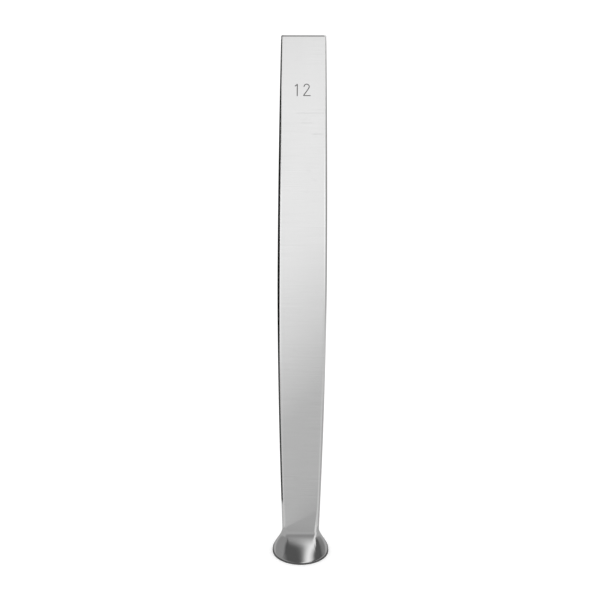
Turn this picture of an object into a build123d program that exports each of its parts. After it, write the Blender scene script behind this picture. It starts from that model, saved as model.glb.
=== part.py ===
from build123d import *
import os

# The osteotome is one piece of steel, so it is one solid. It stands on its round striking face.
# The origin is the middle of that face, +Z runs up the axis to the cutting edge,
# X is the width of the blade and Y its thickness, with the marked side towards -Y.
# All sizes are in millimetres.

# Blade, as seen from the front
overall_length = 160.0
edge_width = 12.0
belly_width = 13.2
belly_height = 86.0
neck_width = 9.8
neck_height = 7.2
swell_curve = 1.7
narrowing_curve = 2.0
tip_corner_radius = 0.4

# Blade, as seen from the side
shank_thickness = 3.8
taper_start = 45.0
taper_curve = 1.4
wedge_thickness = 0.45
bevel_height = 0.35
edge_land = 0.08

# Long edges, softest at the neck; along the wedge they take a share of its half thickness
neck_rounding = 1.5
shank_rounding = 0.9
wedge_rounding_share = 0.85
softening_top = 17.0

# Striking head
head_diameter = 15.0
rim_thickness = 0.7
rim_easing = 0.15
scoop_curve = 2.0
shoulder_fall = 0.4
bow_curve = 4.0
crease_waist = 7.9
crease_foot = 10.8
crease_overhang = 0.15

# Slices that carry the skin of the flare and of the blade
flare_slices = 8
shared_slices = 12
blade_slices = 10

head_radius = head_diameter / 2
bevel_start = overall_length - bevel_height
waist_dip = (crease_foot + neck_width) / 4 - crease_waist / 2
rim_bow = head_radius - (head_radius**2 - (crease_foot / 2) ** 2) ** 0.5 - crease_overhang


def blade_half_width(height):
    """Half the width: it swells from the neck to the belly, then narrows to the edge."""
    if height < belly_height:
        share = (belly_height - height) / (belly_height - neck_height)
        return belly_width / 2 - (belly_width - neck_width) / 2 * share**swell_curve
    share = (height - belly_height) / (overall_length - belly_height)
    return belly_width / 2 - (belly_width - edge_width) / 2 * share**narrowing_curve


def blade_half_thickness(height):
    """Half the thickness: a parallel shank, then one long wedge."""
    share = max(0.0, height - taper_start) / (bevel_start - taper_start)
    return shank_thickness / 2 - (shank_thickness - wedge_thickness) / 2 * share**taper_curve


def blade_rounding(height):
    """Radius of the long edges, softened towards the neck and no thicker than the wedge allows."""
    softening = max(0.0, (softening_top - height) / (softening_top - neck_height)) ** 2
    widest = shank_rounding + (neck_rounding - shank_rounding) * softening
    return min(widest, wedge_rounding_share * blade_half_thickness(height))


def blade_slice(height):
    """A level slice of the blade: a flat bar with rounded corners."""
    with BuildSketch(Plane.XY.offset(height)) as slice_sketch:
        RectangleRounded(2 * blade_half_width(height), 2 * blade_half_thickness(height), blade_rounding(height))
    return slice_sketch.sketch


def flare_slice(height):
    """A level slice of the flare: bowed faces and flanks that meet in four soft creases."""
    rise = (height - rim_thickness) / (neck_height - rim_thickness)
    shoulder = 1 - shoulder_fall * rise
    shoulder -= (3 - 2 * shoulder_fall) * rise**2
    shoulder += (2 - shoulder_fall) * rise**3
    flank_reach = neck_width / 2 + (head_radius - neck_width / 2) * shoulder
    face_reach = shank_thickness / 2 + (head_radius - shank_thickness / 2) * (1 - rise) ** scoop_curve
    crease_x = crease_foot / 2 + (neck_width - crease_foot) / 2 * rise - waist_dip * 4 * rise * (1 - rise)
    crease_y = face_reach - rim_bow * (1 - rise) ** bow_curve
    with BuildSketch(Plane.XY.offset(height)) as slice_sketch:
        with BuildLine():
            ThreePointArc((-crease_x, -crease_y), (0, -face_reach), (crease_x, -crease_y))
            ThreePointArc((crease_x, -crease_y), (flank_reach, 0), (crease_x, crease_y))
            ThreePointArc((crease_x, crease_y), (0, face_reach), (-crease_x, crease_y))
            ThreePointArc((-crease_x, crease_y), (-flank_reach, 0), (-crease_x, -crease_y))
        make_face()
        fillet(slice_sketch.vertices(), neck_rounding)
    return slice_sketch.sketch


# Heights of the slices: the flare's skin runs on into the blade, where the blade's own skin takes over
flare_step = neck_height / flare_slices
flare_heights = [flare_step * i for i in range(flare_slices)]
shared_heights = [neck_height + flare_step * i for i in range(shared_slices + 1)]
blade_step = (overall_length - shared_heights[-1]) / blade_slices
blade_heights = [shared_heights[-1] + blade_step * i for i in range(blade_slices + 1)]

with BuildPart() as osteotome:
    # Flare from the flat neck to the round head, turned round to the head's diameter
    loft([flare_slice(h) for h in flare_heights] + [blade_slice(h) for h in shared_heights])
    with BuildSketch():
        Circle(head_radius)
    extrude(amount=shared_heights[-1], mode=Mode.INTERSECT)
    fillet(osteotome.faces().sort_by(Axis.Z)[0].edges(), rim_easing)

    # Blade
    loft([blade_slice(h) for h in blade_heights])

    # Honed bevels, one on each side of the cutting edge
    with BuildSketch(Plane.YZ) as bevels:
        with BuildLine():
            Polyline(
                (edge_land / 2, overall_length),
                (wedge_thickness / 2, bevel_start),
                (wedge_thickness, bevel_start),
                (wedge_thickness, overall_length),
                close=True,
            )
        make_face()
        mirror(about=Plane.YZ)
    extrude(amount=edge_width, both=True, mode=Mode.SUBTRACT)

    # Corners of the cutting edge, eased
    with BuildSketch(Plane.XZ) as tip_corners:
        corner_x = edge_width / 2 - tip_corner_radius
        corner_z = overall_length - tip_corner_radius
        with Locations((corner_x, corner_z)):
            Rectangle(2 * tip_corner_radius, 2 * tip_corner_radius, align=(Align.MIN, Align.MIN))
            Circle(tip_corner_radius, mode=Mode.SUBTRACT)
        mirror(about=Plane.YZ)
    extrude(amount=shank_thickness, both=True, mode=Mode.SUBTRACT)

osteotome.part.label = "osteotome"
os.makedirs("parts", exist_ok=True)
export_step(osteotome.part, "parts/osteotome.step")
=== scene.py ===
import math

import bpy
import numpy as np
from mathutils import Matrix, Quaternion, Vector


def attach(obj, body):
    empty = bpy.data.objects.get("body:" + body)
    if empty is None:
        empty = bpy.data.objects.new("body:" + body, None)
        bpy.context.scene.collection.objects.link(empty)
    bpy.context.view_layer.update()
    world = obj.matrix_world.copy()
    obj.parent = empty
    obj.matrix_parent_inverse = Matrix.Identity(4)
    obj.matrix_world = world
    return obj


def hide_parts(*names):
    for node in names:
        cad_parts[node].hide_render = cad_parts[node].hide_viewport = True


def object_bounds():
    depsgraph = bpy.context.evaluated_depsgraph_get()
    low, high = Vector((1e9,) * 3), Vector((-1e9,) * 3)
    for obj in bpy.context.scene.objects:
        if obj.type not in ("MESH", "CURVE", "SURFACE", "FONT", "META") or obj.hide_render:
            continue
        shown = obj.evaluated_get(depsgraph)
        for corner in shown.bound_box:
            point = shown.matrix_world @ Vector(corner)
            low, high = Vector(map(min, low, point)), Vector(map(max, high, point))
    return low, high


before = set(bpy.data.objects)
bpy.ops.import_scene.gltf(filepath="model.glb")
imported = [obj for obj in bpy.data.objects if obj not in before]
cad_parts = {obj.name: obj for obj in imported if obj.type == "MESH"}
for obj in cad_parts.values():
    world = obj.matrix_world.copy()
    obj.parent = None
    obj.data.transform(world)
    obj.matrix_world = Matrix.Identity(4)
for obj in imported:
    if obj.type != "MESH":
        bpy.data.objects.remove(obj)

cad_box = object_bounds()
LENGTH = cad_box[1].z
HEAD_RADIUS = cad_box[1].x
MM = 0.001

# The photograph's view: a long lens, looking down at the numbered side.
# It stands near enough for the views from other sides to reach the tool.
CAMERA_AZIMUTH = math.radians(-0.6)
CAMERA_ELEVATION = math.radians(30.85)
CAMERA_ROLL = math.radians(0.36)
CAMERA_DISTANCE = 6.0
CAMERA_CLIP_END = 20.0
SENSOR_WIDTH = 36.0
FRAME_WIDTH = 0.160
AIM_HEIGHT = 0.07832
AIM_ASIDE = -0.00055

# Blade, as in the solid
EDGE_WIDTH = 12.0 * MM
BELLY_WIDTH = 13.2 * MM
BELLY_HEIGHT = 86.0 * MM
NECK_WIDTH = 9.8 * MM
NECK_HEIGHT = 7.2 * MM
SWELL_CURVE = 1.7
NARROWING_CURVE = 2.0
TIP_CORNER_RADIUS = 0.4 * MM
SHANK_THICKNESS = 3.8 * MM
TAPER_START = 45.0 * MM
TAPER_CURVE = 1.4
WEDGE_THICKNESS = 0.45 * MM
BEVEL_HEIGHT = 0.35 * MM
EDGE_LAND = 0.08 * MM
NECK_ROUNDING = 1.5 * MM
SHANK_ROUNDING = 0.9 * MM
WEDGE_ROUNDING_SHARE = 0.85
SOFTENING_TOP = 17.0 * MM

# Striking head, as in the solid, but with creases that are crisper and run further in at the waist
RIM_THICKNESS = 0.7 * MM
RIM_EASING = 0.15 * MM
SCOOP_CURVE = 2.0
SHOULDER_FALL = 0.4
BOW_CURVE = 4.0
CREASE_WAIST = 7.1 * MM
CREASE_FOOT = 10.8 * MM
CREASE_OVERHANG = 0.15 * MM
CREASE_ROUNDING = 0.5 * MM

# Least width of the easing that a long edge shows on the face
LEAST_EASING = 0.45 * MM

BEVEL_START = LENGTH - BEVEL_HEIGHT
WAIST_DIP = (CREASE_FOOT + NECK_WIDTH) / 4 - CREASE_WAIST / 2
RIM_BOW = HEAD_RADIUS - math.sqrt(HEAD_RADIUS**2 - (CREASE_FOOT / 2) ** 2) - CREASE_OVERHANG
LEAST_SAG = 1e-8

# How the points of a ring lie along half a face, a rounded crease and half a flank
FACE_SHARES = np.linspace(0, 1, 20)
CREASE_SHARES = np.linspace(0, 1, 12)[1:-1]
FLANK_SHARES = np.linspace(0, 1, 12)

# Number of rings in each stretch of the skin, from the foot to the cutting edge
FOOT_RINGS = 6
RIM_RINGS = 30
RIM_RINGS_TOP = 2.2 * MM
FLARE_RINGS = 40
BLADE_RINGS = 140
TIP_RINGS = 7
SHARP_FROM = math.radians(20)

# The size number on the front: stroke paths as (x, z) in millimetres from the number's middle
NUMBER_HEIGHT = 143.5 * MM
NUMBER_ASIDE = -0.33 * MM
STROKE_WIDTH = 0.3 * MM
STROKE_RELIEF = 0.015 * MM
ONE_FLAG = ((-1.95, 1.15), (-1.6, 1.4), (-1.3, 1.8))
ONE_STEM = ((-1.3, 1.8), (-1.3, -1.85))
TWO_BOW = (
    (0.45, 1.0), (0.65, 1.5), (1.1, 1.8), (1.55, 1.65), (1.85, 1.2), (1.75, 0.6), (1.3, -0.2),
    (0.75, -1.05), (0.35, -1.7),
)
TWO_FOOT = ((0.35, -1.7), (0.85, -1.7), (2.25, -1.7))

# Section of a stroke, as (share of its half width, share of its relief)
STROKE_SECTION = ((-1, -1), (-0.7, 1), (0.7, 1), (1, -1))

# Faint grinding lines left above the belly: (height, left end, right end) in millimetres
STRAY_LINES = ((136.5, -2.2, 5.9), (133.5, -0.8, 2.9), (130.1, 1.9, 5.6))
STRAY_HALF_WIDTH = (0.04 * MM, 0.16 * MM)
STRAY_FADE = 0.8 * MM


def camera():
    """The camera, aimed at the middle of the photograph's frame."""
    back = Vector((
        math.sin(CAMERA_AZIMUTH) * math.cos(CAMERA_ELEVATION),
        -math.cos(CAMERA_AZIMUTH) * math.cos(CAMERA_ELEVATION),
        math.sin(CAMERA_ELEVATION),
    ))
    data = bpy.data.cameras.new("camera")
    data.sensor_width = SENSOR_WIDTH
    data.lens = SENSOR_WIDTH * CAMERA_DISTANCE / FRAME_WIDTH
    data.clip_end = CAMERA_CLIP_END
    view = bpy.data.objects.new("camera", data)
    view.rotation_mode = "QUATERNION"
    view.location = Vector((AIM_ASIDE, 0, AIM_HEIGHT)) + back * CAMERA_DISTANCE
    view.rotation_quaternion = (-back).to_track_quat("-Z", "Y") @ Quaternion((0, 0, 1), CAMERA_ROLL)
    bpy.context.scene.collection.objects.link(view)
    bpy.context.scene.camera = view


# Form of the blade and the head

def mix(low, high, share):
    return low + (high - low) * share


def half_width(height):
    """Half the blade's width: it swells from the neck to the belly, then narrows to the edge."""
    if height < BELLY_HEIGHT:
        share = (BELLY_HEIGHT - height) / (BELLY_HEIGHT - NECK_HEIGHT)
        return mix(BELLY_WIDTH, NECK_WIDTH, share**SWELL_CURVE) / 2
    share = (height - BELLY_HEIGHT) / (LENGTH - BELLY_HEIGHT)
    return mix(BELLY_WIDTH, EDGE_WIDTH, share**NARROWING_CURVE) / 2


def half_thickness(height):
    """Half the blade's thickness: a parallel shank, one long wedge, then the honed bevel."""
    if height > BEVEL_START:
        return mix(WEDGE_THICKNESS, EDGE_LAND, (height - BEVEL_START) / BEVEL_HEIGHT) / 2
    share = max(0.0, height - TAPER_START) / (BEVEL_START - TAPER_START)
    return mix(SHANK_THICKNESS, WEDGE_THICKNESS, share**TAPER_CURVE) / 2


def blade_shape(height):
    """(flank reach, face reach, crease x, crease y, rounding) of a level slice of the blade."""
    wide, thick = half_width(height), half_thickness(height)
    into_corner = height - (LENGTH - TIP_CORNER_RADIUS)
    if into_corner > 0:
        wide -= TIP_CORNER_RADIUS - math.sqrt(max(0.0, TIP_CORNER_RADIUS**2 - into_corner**2))
    softening = max(0.0, (SOFTENING_TOP - height) / (SOFTENING_TOP - NECK_HEIGHT)) ** 2
    rounding = min(mix(SHANK_ROUNDING, NECK_ROUNDING, softening), WEDGE_ROUNDING_SHARE * thick)
    return wide, thick, wide, thick, rounding


def flare_shape(height):
    """(flank reach, face reach, crease x, crease y, rounding) of a level slice of the flare."""
    rise = (height - RIM_THICKNESS) / (NECK_HEIGHT - RIM_THICKNESS)
    shoulder = 1 - SHOULDER_FALL * rise - (3 - 2 * SHOULDER_FALL) * rise**2 + (2 - SHOULDER_FALL) * rise**3
    flank = mix(NECK_WIDTH / 2, HEAD_RADIUS, shoulder)
    face = mix(SHANK_THICKNESS / 2, HEAD_RADIUS, (1 - rise) ** SCOOP_CURVE)
    crease_x = mix(CREASE_FOOT, NECK_WIDTH, rise) / 2 - WAIST_DIP * 4 * rise * (1 - rise)
    crease_y = face - RIM_BOW * (1 - rise) ** BOW_CURVE
    return flank, face, crease_x, crease_y, mix(CREASE_ROUNDING, NECK_ROUNDING, rise)


def bowed_side(reach, corner_out, corner_along):
    """(radius, half angle) of the arc that bows out to reach between two corners."""
    sag = max(reach - corner_out, LEAST_SAG)
    radius = (corner_along**2 + sag**2) / (2 * sag)
    return radius, math.asin(corner_along / radius)


def on_side(reach, radius, angle):
    """Points of a bowed side, as (along, out), at angles from its middle."""
    return radius * np.sin(angle), reach - radius * (1 - np.cos(angle))


def quarter_slice(shape):
    """A quarter of a level slice's outline: half a face, the rounded crease and half a flank."""
    flank, face, crease_x, crease_y, rounding = shape
    face_radius, face_angle = bowed_side(face, crease_y, crease_x)
    flank_radius, flank_angle = bowed_side(flank, crease_x, crease_y)
    turn = math.pi / 2 - face_angle - flank_angle
    eased = rounding * math.tan(turn / 2)
    face_end = face_angle - max(eased, LEAST_EASING) / face_radius
    flank_end = flank_angle - eased / flank_radius
    face_x, face_y = on_side(face, face_radius, face_end * FACE_SHARES)
    flank_y, flank_x = on_side(flank, flank_radius, flank_end * FLANK_SHARES[::-1])
    pull = np.stack([
        (1 - CREASE_SHARES) ** 2,
        2 * CREASE_SHARES * (1 - CREASE_SHARES) * math.cos(turn / 2),
        CREASE_SHARES**2,
    ])
    pull /= pull.sum(axis=0)
    crease_xs = pull[0] * face_x[-1] + pull[1] * crease_x + pull[2] * flank_x[0]
    crease_ys = pull[0] * face_y[-1] + pull[1] * crease_y + pull[2] * flank_y[0]
    return np.stack([
        np.concatenate([face_x, crease_xs, flank_x]),
        np.concatenate([face_y, crease_ys, flank_y]),
    ], axis=1)


def whole_slice(shape):
    """The closed outline of a level slice, counter-clockwise from the middle of the front face."""
    quarter = quarter_slice(shape)
    back = quarter[::-1]
    return np.concatenate([
        quarter * (1, -1),
        back[1:],
        quarter[1:] * (-1, 1),
        back[1:-1] * (-1, -1),
    ])


def rim_radius(height):
    """Radius that the head is turned to, with its lower edge eased."""
    if height >= RIM_EASING:
        return HEAD_RADIUS
    return HEAD_RADIUS - RIM_EASING + math.sqrt(RIM_EASING**2 - (RIM_EASING - height) ** 2)


def soft_least(a, b, softness):
    """The lesser of two lengths, blended where they are close."""
    blend = np.maximum(softness - np.abs(a - b), 0) / softness
    return np.minimum(a, b) - blend**2 * softness / 4


def turned(outline, height):
    """A slice of the flare, cut round to the head's radius."""
    reach = np.hypot(outline[:, 0], outline[:, 1])
    return outline * (soft_least(reach, rim_radius(height), RIM_EASING) / reach)[:, None]


def ring_heights():
    """Heights of the rings, closest at the rim, in the flare and at the cutting edge."""
    foot = RIM_EASING * (1 - np.cos(np.linspace(0, math.pi / 2, FOOT_RINGS)))
    rim = np.linspace(foot[-1], RIM_RINGS_TOP, RIM_RINGS)[1:]
    flare = np.linspace(rim[-1], NECK_HEIGHT, FLARE_RINGS)[1:]
    blade = np.linspace(NECK_HEIGHT, BEVEL_START, BLADE_RINGS)[1:]
    corner_start = LENGTH - TIP_CORNER_RADIUS
    tip = corner_start + TIP_CORNER_RADIUS * np.sin(np.linspace(0, math.pi / 2, TIP_RINGS))
    return np.concatenate([foot, rim, flare, blade, tip[tip > BEVEL_START]])


def ring(height):
    """The points of the tool's outline at a height."""
    if height < NECK_HEIGHT:
        outline = turned(whole_slice(flare_shape(height)), height)
    else:
        outline = whole_slice(blade_shape(height))
    return [(x, y, height) for x, y in outline]


def add_mesh(name, points, faces):
    mesh = bpy.data.meshes.new(name)
    mesh.from_pydata(points, [], faces)
    piece = bpy.data.objects.new(name, mesh)
    bpy.context.scene.collection.objects.link(piece)
    return piece


def osteotome_body():
    """The whole tool as one skin of rings, closed by the striking face and the edge's narrow land."""
    rings = [ring(height) for height in ring_heights()]
    count = len(rings[0])
    top = (len(rings) - 1) * count
    faces = [tuple(reversed(range(count)))]
    for low in range(0, top, count):
        for i in range(count):
            j = (i + 1) % count
            faces.append((low + i, low + j, low + count + j, low + count + i))
    faces.append(tuple(range(top, top + count)))
    body = add_mesh("osteotome_body", [point for points in rings for point in points], faces)
    body.data.polygons.foreach_set("use_smooth", [True] * len(body.data.polygons))
    body.data.set_sharp_from_angle(angle=SHARP_FROM)
    return body


def stroke(path):
    """Points and faces of one pen stroke, lying on the slope of the front face."""
    path = np.array(path) * MM + (NUMBER_ASIDE, NUMBER_HEIGHT)
    along = np.gradient(path, axis=0)
    along /= np.linalg.norm(along, axis=1)[:, None]
    aside = np.stack([-along[:, 1], along[:, 0]], axis=1) * STROKE_WIDTH / 2
    points = []
    for centre, offset in zip(path, aside):
        for width_share, relief_share in STROKE_SECTION:
            x, z = centre + offset * width_share
            points.append((x, -half_thickness(z) - STROKE_RELIEF * relief_share, z))
    count = len(STROKE_SECTION)
    faces = []
    for low in range(0, len(points) - count, count):
        faces += [(low + i, low + i + 1, low + count + i + 1, low + count + i) for i in range(count - 1)]
    return points, faces


def rounded_path(path, steps=6):
    """The path with its corners drawn smoothly through the given points."""
    points = np.array(path)
    before = np.concatenate([points[:1], points[:-1]])
    after = np.concatenate([points[1:], points[-1:]])
    slope = (after - before) / 2
    smooth = []
    for i in range(len(points) - 1):
        for t in np.linspace(0, 1, steps, endpoint=i == len(points) - 2):
            smooth.append(
                (2 * t**3 - 3 * t**2 + 1) * points[i] + (t**3 - 2 * t**2 + t) * slope[i]
                + (3 * t**2 - 2 * t**3) * points[i + 1] + (t**3 - t**2) * slope[i + 1]
            )
    return smooth


def size_number():
    """The number on the front face, in thin dark strokes."""
    points, faces = [], []
    for path in (ONE_FLAG, ONE_STEM, rounded_path(TWO_BOW), TWO_FOOT):
        more_points, more_faces = stroke(path)
        faces += [tuple(i + len(points) for i in face) for face in more_faces]
        points += more_points
    return add_mesh("size_number", points, faces)


# Materials

# Grain of the steel's features along x, y and z, in metres
CLOUD_GRAIN = (0.012, 0.012, 0.03)
GRINDING_GRAIN = (0.018, 0.018, 0.0003)
SCRATCH_GRAIN = (0.009, 0.009, 0.00012)
MARK_GRAIN = (0.0015, 0.0015, 0.0025)

# Noise levels at which scratches and marks start and are whole
SCRATCH_LEVELS = (0.62, 0.75)
MARK_LEVELS = (0.6, 0.75)

# Heights between which the head's smoother steel turns into the ground blade
GROUND_HEIGHTS = (0.004, 0.012)
HEAD_GRINDING = 0.25

# Plain shade and roughness of the steel, and what each feature adds to them and to the relief
STEEL_SHADE = 0.81
STEEL_ROUGHNESS = 0.10
ADDS_SHADE = {"clouds": 0.05, "grinding": 0.12, "scratches": -0.04, "marks": -0.015, "stray": -0.05}
ADDS_ROUGHNESS = {"blade": 0.02, "grinding": 0.08, "scratches": 0.05, "marks": 0.03, "stray": 0.1}
ADDS_RELIEF = {"grinding": 1.0, "scratches": -0.3, "stray": -0.6}

# The number's dark steel
ETCHING_GRAIN = (0.0003, 0.0003, 0.0003)
ETCHING_SHADE = 0.06
ADDS_ETCHING_SHADE = {"patches": 0.08}
ETCHING_METAL = 0.3
ETCHING_ROUGHNESS = 0.6

STEEL_BUMP = 0.25
ETCHING_BUMP = 0.2
BUMP_DISTANCE = 0.01 * MM


class Nodes:
    """A short way to write a node tree: each call adds a node and returns one of its outputs."""

    def __init__(self, owner):
        owner.use_nodes = True
        self.tree = owner.node_tree
        self.tree.nodes.clear()

    def put(self, socket, value):
        if isinstance(value, bpy.types.NodeSocket):
            self.tree.links.new(value, socket)
        else:
            socket.default_value = value

    def add(self, kind, inputs=None, output=0, **settings):
        node = self.tree.nodes.new(kind)
        for name, value in settings.items():
            setattr(node, name, value)
        for name, value in (inputs or {}).items():
            self.put(node.inputs[name], value)
        return node.outputs[output]

    def math(self, operation, *values):
        return self.add("ShaderNodeMath", dict(enumerate(values)), operation=operation)

    def weighted(self, base, features, weights):
        """The base plus each feature times its weight."""
        for name, weight in weights.items():
            base = self.math("MULTIPLY_ADD", features[name], weight, base)
        return base

    def noise(self, place, grain, detail=3.0, roughness=0.5):
        """Noise with its own grain size along each axis."""
        fineness = [1 / size for size in grain]
        stretched = self.add("ShaderNodeVectorMath", {0: place, 1: fineness}, operation="MULTIPLY")
        inputs = {"Vector": stretched, "Scale": 1.0, "Detail": detail, "Roughness": roughness}
        return self.add("ShaderNodeTexNoise", inputs)

    def fade(self, value, start, end, low=0.0, high=1.0):
        """A smooth change from low to high as the value goes from start to end."""
        inputs = {"Value": value, 1: start, 2: end, 3: low, 4: high}
        return self.add("ShaderNodeMapRange", inputs, interpolation_type="SMOOTHSTEP")

    def mix(self, share, low, high):
        return self.add("ShaderNodeMix", {0: share, 2: low, 3: high})

    def ramp(self, value, stops):
        """A run of greys along a value: each stop is (value, grey)."""
        first, last = stops[0][0], stops[-1][0]
        run = self.tree.nodes.new("ShaderNodeValToRGB")
        while len(run.color_ramp.elements) < len(stops):
            run.color_ramp.elements.new(1)
        for element, (place, grey) in zip(run.color_ramp.elements, stops):
            element.position = (place - first) / (last - first)
            element.color = (grey, grey, grey, 1)
        self.put(run.inputs[0], self.add("ShaderNodeMapRange", {"Value": value, 1: first, 2: last}))
        return run.outputs[0]

    def grey(self, shade):
        return self.add("ShaderNodeCombineColor", {0: shade, 1: shade, 2: shade})

    def bump(self, height, strength):
        inputs = {"Strength": strength, "Distance": BUMP_DISTANCE, "Height": height}
        return self.add("ShaderNodeBump", inputs)

    def glow(self, strength):
        return self.add("ShaderNodeEmission", {"Color": (1, 1, 1, 1), "Strength": strength})

    def split(self, vector):
        node = self.tree.nodes.new("ShaderNodeSeparateXYZ")
        self.put(node.inputs[0], vector)
        return node.outputs

    def end(self, surface, kind="ShaderNodeOutputMaterial"):
        self.put(self.tree.nodes.new(kind).inputs["Surface"], surface)


def stray_line(n, x, z, line):
    """1 on a short level line across the face, 0 off it."""
    height, left, right = (size * MM for size in line)
    off = n.math("ABSOLUTE", n.math("SUBTRACT", z, height))
    on = n.fade(off, *STRAY_HALF_WIDTH, 1.0, 0.0)
    start = n.fade(x, left, left + STRAY_FADE)
    stop = n.fade(x, right - STRAY_FADE, right, 1.0, 0.0)
    return n.math("MULTIPLY", n.math("MULTIPLY", on, start), stop)


def steel_features(n):
    """How strong each feature of the steel's surface is at a place."""
    place = n.add("ShaderNodeTexCoord", output="Object")
    x, _, z = n.split(place)
    on_blade = n.fade(z, *GROUND_HEIGHTS)
    grinding = n.math("SUBTRACT", n.noise(place, GRINDING_GRAIN, detail=5.0, roughness=0.65), 0.5)
    ground_share = n.math("MULTIPLY_ADD", on_blade, 1 - HEAD_GRINDING, HEAD_GRINDING)
    stray = 0.0
    for line in STRAY_LINES:
        stray = n.math("ADD", stray_line(n, x, z, line), stray)
    return {
        "blade": on_blade,
        "clouds": n.noise(place, CLOUD_GRAIN, detail=2.0),
        "grinding": n.math("MULTIPLY", grinding, ground_share),
        "scratches": n.fade(n.noise(place, SCRATCH_GRAIN, detail=2.0), *SCRATCH_LEVELS),
        "marks": n.fade(n.noise(place, MARK_GRAIN, detail=4.0), *MARK_LEVELS),
        "stray": stray,
    }


def steel():
    """Stainless steel, ground across the blade and smoother on the head."""
    material = bpy.data.materials.new("steel")
    n = Nodes(material)
    features = steel_features(n)
    n.end(n.add("ShaderNodeBsdfPrincipled", {
        "Base Color": n.grey(n.weighted(STEEL_SHADE, features, ADDS_SHADE)),
        "Metallic": 1.0,
        "Roughness": n.weighted(STEEL_ROUGHNESS, features, ADDS_ROUGHNESS),
        "Normal": n.bump(n.weighted(0.0, features, ADDS_RELIEF), STEEL_BUMP),
    }))
    return material


def etching():
    """Dark etched steel of the number, a little patchy."""
    material = bpy.data.materials.new("etching")
    n = Nodes(material)
    patches = n.noise(n.add("ShaderNodeTexCoord", output="Object"), ETCHING_GRAIN)
    n.end(n.add("ShaderNodeBsdfPrincipled", {
        "Base Color": n.grey(n.weighted(ETCHING_SHADE, {"patches": patches}, ADDS_ETCHING_SHADE)),
        "Metallic": ETCHING_METAL,
        "Roughness": ETCHING_ROUGHNESS,
        "Normal": n.bump(patches, ETCHING_BUMP),
    }))
    return material


# Studio: what stands around the tool is seen by the metal alone, apart from the white floor

FLOOR_SIZE = 8.0
FLOOR_SHADE = (0.9, 0.9, 0.9, 1)
FLOOR_LIFT = 0.25

# Brightness by distance from the tool, as (metres, grey)
# The floor as the metal sees it: a glow, with a painted shadow of the tool that is darkest right round its
# foot
FLOOR_GLOW_AND_PAINTED_SHADOW = ((0.0, 0.08), (0.0084, 0.10), (0.012, 0.38), (0.018, 0.42), (0.03, 0.42), (0.1, 0.32))
# The white card: a glow with a painted shadow of the tool, dim close to it and brightest about 0.2 m out
WHITE_GLOW_AND_PAINTED_SHADOW = (
    (0.0, 0.43), (0.02, 0.51), (0.05, 0.53), (0.066, 0.54), (0.08, 0.61), (0.12, 0.78), (0.16, 0.92),
    (0.22, 0.95), (0.28, 0.93), (0.35, 0.7), (0.5, 0.4),
)
LEFT_LIGHT_GLOW = ((0.0, 0.62), (0.06, 0.6), (0.085, 0.62), (0.1, 0.85), (0.14, 1.12), (0.3, 1.12))
RIGHT_LIGHT_GLOW = (
    (0.0, 0.62), (0.08, 0.6), (0.1, 0.6), (0.123, 0.68), (0.14, 0.88), (0.165, 1.0), (0.19, 1.08),
    (0.3, 1.08),
)
DARK_GLOW = (
    (0.0, 0.06), (0.08, 0.06), (0.105, 0.004), (0.125, 0.004), (0.15, 0.01), (0.21, 0.02), (0.26, 0.03),
)
GREY_GLOW = (
    (0.0, 0.44), (0.06, 0.44), (0.08, 0.56), (0.1, 0.62), (0.115, 0.52), (0.13, 0.42), (0.16, 0.38),
    (0.18, 0.32), (0.2, 0.38), (0.24, 0.42),
)
LOW_GLOW = ((0.0, 0.75), (0.6, 0.75))

# How much nearer the white card's brightness lies on the left, so that its painted shadow of the tool is
# narrower there, and how far out that still grows
WHITE_LEAN = 2.2
WHITE_LEAN_REACH = 8.0 * MM

# The white card all round the tool, with a hole for it, in metres
WHITE_CARD_HEIGHT = 7.0 * MM
WHITE_CARD = ((-0.6, 0.6), (-0.6, -0.6), (0.6, -0.6), (0.6, 0.6))
WHITE_CARD_HOLE = ((-0.006, 0.006), (-0.006, -0.0024), (0.006, -0.014), (0.014, -0.014), (0.014, 0.006))

# Cards at each side, as (distance, degrees from the front) about the blade's edge.
# The far edge of the dark and the grey one is an arc just past what the photograph's view sees.
EDGE_REACH = 5.0 * MM
LIGHT_CARD_HEIGHT = 7.4 * MM
LIGHT_CARD = ((0.002, 15), (0.3, 10), (0.3, 60), (0.002, 60))
SHADE_CARD_HEIGHT = 7.8 * MM
SHADE_REACH = 0.315
SHADE_ARC = tuple((SHADE_REACH, degrees) for degrees in (40, 75, 110, 145, 180))
DARK_CARD = (
    (0.0135, 54), (0.09, 58), (0.107, 46), (0.125, 40), (0.145, 34), (0.161, 38), (0.19, 46),
    (0.208, 34), (0.221, 20), (0.231, 10), (SHADE_REACH, 10), *SHADE_ARC,
    (0.0135, 180), (0.0135, 140), (0.0135, 95),
)
GREY_CARD = (
    (0.002, 60), (0.19, 60), (0.21, 50), (0.235, 30), (0.26, 18), (SHADE_REACH, 18), *SHADE_ARC,
    (0.002, 180),
)
LOW_CARD_HEIGHT = 0.6 * MM
LOW_CARD = ((0.008, 12), (0.6, 12), (0.6, 55), (0.008, 55))

# (name, side: -1 left and 1 right, outline, height, brightness)
EDGE_CARDS = (
    ("left_light_card", -1, LIGHT_CARD, LIGHT_CARD_HEIGHT, LEFT_LIGHT_GLOW),
    ("right_light_card", 1, LIGHT_CARD, LIGHT_CARD_HEIGHT, RIGHT_LIGHT_GLOW),
    ("dark_card", -1, DARK_CARD, SHADE_CARD_HEIGHT, DARK_GLOW),
    ("grey_card", 1, GREY_CARD, SHADE_CARD_HEIGHT, GREY_GLOW),
    ("low_card", 1, LOW_CARD, LOW_CARD_HEIGHT, LOW_GLOW),
)

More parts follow.
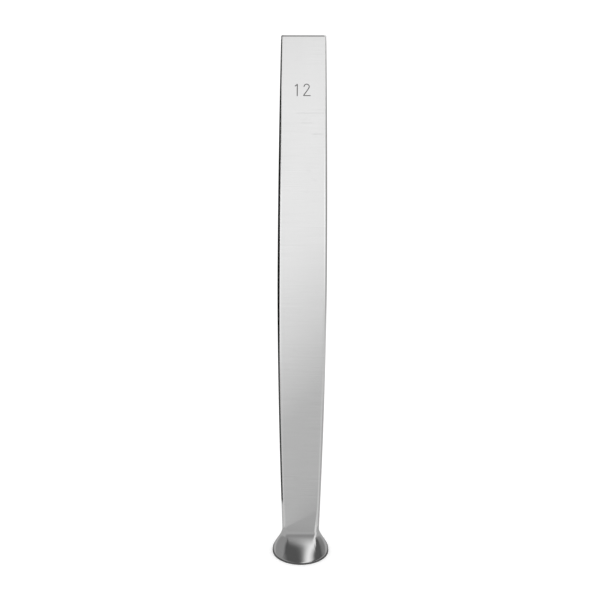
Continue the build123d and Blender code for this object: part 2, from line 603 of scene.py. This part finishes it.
# Brightness overhead by direction across, as (direction, grey): a softbox in a dark ceiling
SKY_GLOW = (
    (-1.0, 0.25), (-0.75, 0.29), (-0.62, 0.18), (-0.5, 0.09), (-0.16, 0.09), (-0.08, 0.13),
    (-0.03, 0.24), (0.0, 0.35), (0.05, 0.6), (0.1, 0.8), (0.15, 0.92), (0.2, 0.9), (0.28, 0.7),
    (0.35, 0.48), (0.42, 0.18), (0.5, 0.09), (0.88, 0.09), (1.0, 0.25),
)
SOFTBOX_SLANT = 0.09
SLANT_RISE = (0.7, 1.0)

# The dim lower room, which reaches higher on the left, and the rise over which the ceiling takes over
LOW_ROOM = 0.28
ROOM_TILT = 0.25
CEILING_RISE = (0.15, 0.55)

# The low window on the right: its brightness and where it fades, by direction
WINDOW = 0.85
WINDOW_LEFT = (0.1, 0.25)
WINDOW_BACK = (-0.05, 0.1)
WINDOW_TOP = (0.5, 0.75)


def by_distance(n, stops, lean=0.0):
    """Brightness by distance from the tool, leaning to its left."""
    place = n.add("ShaderNodeNewGeometry", output="Position")
    distance = n.add("ShaderNodeVectorMath", {0: place}, operation="LENGTH", output="Value")
    aside = n.math("MAXIMUM", n.math("MINIMUM", n.split(place)[0], WHITE_LEAN_REACH), -WHITE_LEAN_REACH)
    return n.ramp(n.math("MULTIPLY_ADD", aside, -lean, distance), stops)


def floor():
    """White floor that holds the tool's soft shadow; to the metal it glows, with a painted shadow that
    darkens it around the tool's foot.
    """
    half = FLOOR_SIZE / 2
    corners = [(-half, -half, 0), (half, -half, 0), (half, half, 0), (-half, half, 0)]
    sheet = add_mesh("floor", corners, [(0, 1, 2, 3)])
    material = bpy.data.materials.new("paper")
    n = Nodes(material)
    in_camera = n.add("ShaderNodeLightPath", output="Is Camera Ray")
    lift = n.glow(n.math("MULTIPLY", in_camera, FLOOR_LIFT))
    matt = n.add("ShaderNodeBsdfDiffuse", {"Color": FLOOR_SHADE})
    paper = n.add("ShaderNodeAddShader", {0: matt, 1: lift})
    # What the metal sees of the floor: a glow with a painted shadow round the tool's foot
    seen_in_metal_with_painted_shadow = n.glow(by_distance(n, FLOOR_GLOW_AND_PAINTED_SHADOW))
    in_metal = n.add("ShaderNodeLightPath", output="Is Glossy Ray")
    n.end(n.add("ShaderNodeMixShader", {0: in_metal, 1: paper, 2: seen_in_metal_with_painted_shadow}))
    sheet.data.materials.append(material)


def seen_room(n):
    """Brightness of the room in the metal: a softbox overhead, a dim lower room and a low window."""
    across, depth, up = n.split(n.add("ShaderNodeTexCoord", output="Generated"))
    slanted = n.math("SUBTRACT", across, n.fade(up, *SLANT_RISE, 0.0, SOFTBOX_SLANT))
    to_ceiling = n.fade(n.math("MULTIPLY_ADD", across, ROOM_TILT, up), *CEILING_RISE)
    room = n.mix(to_ceiling, LOW_ROOM, n.ramp(slanted, SKY_GLOW))
    to_front = n.fade(n.math("ADD", across, depth), *WINDOW_BACK, 1.0, 0.0)
    window = n.math("MULTIPLY", n.fade(across, *WINDOW_LEFT), to_front)
    window = n.math("MULTIPLY", window, n.fade(up, *WINDOW_TOP, 1.0, 0.0))
    return n.mix(window, room, WINDOW)


def surroundings():
    """White light all round, apart from what the metal sees."""
    world = bpy.data.worlds.new("studio")
    n = Nodes(world)
    in_metal = n.add("ShaderNodeLightPath", output="Is Glossy Ray")
    inputs = {"Color": (1, 1, 1, 1), "Strength": n.mix(in_metal, 1.0, seen_room(n))}
    n.end(n.add("ShaderNodeBackground", inputs), "ShaderNodeOutputWorld")
    bpy.context.scene.world = world
    bpy.context.scene.view_settings.view_transform = "Standard"


def card(name, outline, height, stops, lean=0.0):
    """A level card that only the metal sees, and only from above."""
    sheet = add_mesh(name, [(x, y, height) for x, y in outline], [tuple(range(len(outline)))])
    material = bpy.data.materials.new(name)
    n = Nodes(material)
    from_below = n.add("ShaderNodeNewGeometry", output="Backfacing")
    shown = n.glow(by_distance(n, stops, lean))
    clear = n.add("ShaderNodeBsdfTransparent")
    n.end(n.add("ShaderNodeMixShader", {0: from_below, 1: shown, 2: clear}))
    sheet.data.materials.append(material)
    sheet.visible_camera = False
    sheet.visible_diffuse = False
    sheet.visible_shadow = False


def with_hole(outline, hole):
    """One outline that runs round a card, in along a seam, back round the hole and out again."""
    return outline + outline[:1] + hole[:1] + hole[:0:-1] + hole[:1]


def beside(fan, side):
    """Outline of a card beside the blade, on its left (-1) or right (1)."""
    outline = []
    for distance, degrees in fan:
        turn = math.radians(degrees)
        outline.append((side * (EDGE_REACH + distance * math.sin(turn)), -distance * math.cos(turn)))
    return outline[::side]


def cards():
    """The white card all round the tool, with a painted shadow of the tool near it, and the ones that draw
    its long edges.
    """
    white = with_hole(WHITE_CARD, WHITE_CARD_HOLE)
    card("white_card", white, WHITE_CARD_HEIGHT, WHITE_GLOW_AND_PAINTED_SHADOW, WHITE_LEAN)
    for name, side, fan, height, stops in EDGE_CARDS:
        card(name, beside(fan, side), height, stops)


def main():
    camera()
    body, number = osteotome_body(), size_number()
    body.data.materials.append(steel())
    number.data.materials.append(etching())
    for piece in (body, number):
        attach(piece, "root")
    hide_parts("osteotome")
    floor()
    surroundings()
    cards()


main()
